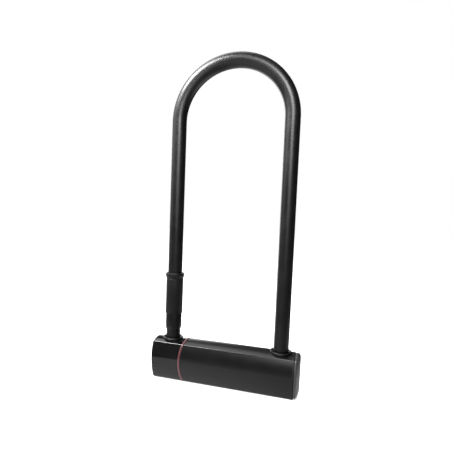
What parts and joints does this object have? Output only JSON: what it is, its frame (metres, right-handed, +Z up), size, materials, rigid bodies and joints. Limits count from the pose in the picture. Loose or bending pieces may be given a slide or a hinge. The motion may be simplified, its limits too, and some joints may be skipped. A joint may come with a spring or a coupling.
{
  "type": "bicycle u lock",
  "caption": "Long U-shaped bicycle lock: a coated round shackle with a carrier sleeve on one leg, seated in a rounded crossbar with double bolts, a disc cylinder and a sliding keyhole shutter.",
  "frame": {"origin": "middle of the crossbar's flat underside, on the key cylinder's axis", "axes": "+X along the crossbar from the glossy cap to the plain end cap, +Y away from the front, +Z up along the shackle's legs"},
  "size_m": [0.1652, 0.0354, 0.3621],
  "materials": {
    "satin_black_plastic": "satin soft-touch, fine moulded grain",
    "gloss_black_plastic": "polished piano black",
    "matte_black_plastic": "matt with a fine spark-eroded grain",
    "red_plastic": "semi-gloss moulded red",
    "black_rubber": "semi-matt rubber",
    "shackle_coat": "satin dipped vinyl",
    "hardened_steel": "phosphated hardened steel, darkened",
    "bright_steel": "ground steel, lightly oiled",
    "cast_metal": "sintered steel, tumbled",
    "brass": "machined brass"
  },
  "bodies": {
    "crossbar": {"left_cap": "gloss_black_plastic", "accent_ring": "red_plastic", "main_cover": "satin_black_plastic", "right_end_cap": "satin_black_plastic", "crossbar_housing": "hardened_steel", "end_plate_left": "hardened_steel", "end_plate_right": "hardened_steel", "grommet_left": "black_rubber", "grommet_right": "black_rubber", "leg_bush_left": "cast_metal", "leg_bush_right": "cast_metal", "leg_pad_left": "black_rubber", "leg_pad_right": "black_rubber", "bolt_guide_left": "cast_metal", "bolt_guide_right": "cast_metal", "cylinder_pins": "bright_steel", "guide_pins": "bright_steel", "bush_pins": "bright_steel", "cylinder_shell": "brass", "cam_washer": "brass", "keyhole_bezel": "matte_black_plastic"},
    "shackle": {"shackle_bar": "hardened_steel", "shackle_coating": "shackle_coat", "sleeve_liner": "black_rubber", "carrier_sleeve": "matte_black_plastic"},
    "key_plug": {"cylinder_core": "brass", "drill_shield": "hardened_steel", "code_discs": "brass", "disc_washers": "bright_steel", "sidebar": "bright_steel", "tailpiece": "cast_metal", "cam_disc": "hardened_steel"},
    "bolt_left": {"bolt_left": "bright_steel", "drive_pin_left": "hardened_steel"},
    "bolt_right": {"bolt_right": "bright_steel", "drive_pin_right": "hardened_steel"},
    "shutter": {"key_shutter": "matte_black_plastic"}
  },
  "joints": [
    {"name": "shackle_lift", "type": "slide", "parent": "crossbar", "child": "shackle", "axis": [0, 0, 1], "range_m": [0, 0.08]},
    {"name": "plug_turn", "type": "hinge", "parent": "crossbar", "child": "key_plug", "pos_m": [0, 0, 0.015], "axis": [0, 0, 1], "range_deg": [0, 90]},
    {"name": "bolt_left_slide", "type": "slide", "parent": "crossbar", "child": "bolt_left", "axis": [-1, 0, 0], "range_m": [0, 0.0044]},
    {"name": "bolt_right_slide", "type": "slide", "parent": "crossbar", "child": "bolt_right", "axis": [1, 0, 0], "range_m": [0, 0.0044]},
    {"name": "shutter_slide", "type": "slide", "parent": "crossbar", "child": "shutter", "axis": [1, 0, 0], "range_m": [0, 0.014]}
  ],
  "couplings": [
    {"joint": "plug_turn", "follows": "bolt_right_slide", "rad_per_m": 357},
    {"joint": "bolt_left_slide", "follows": "bolt_right_slide", "ratio": 1}
  ]
}
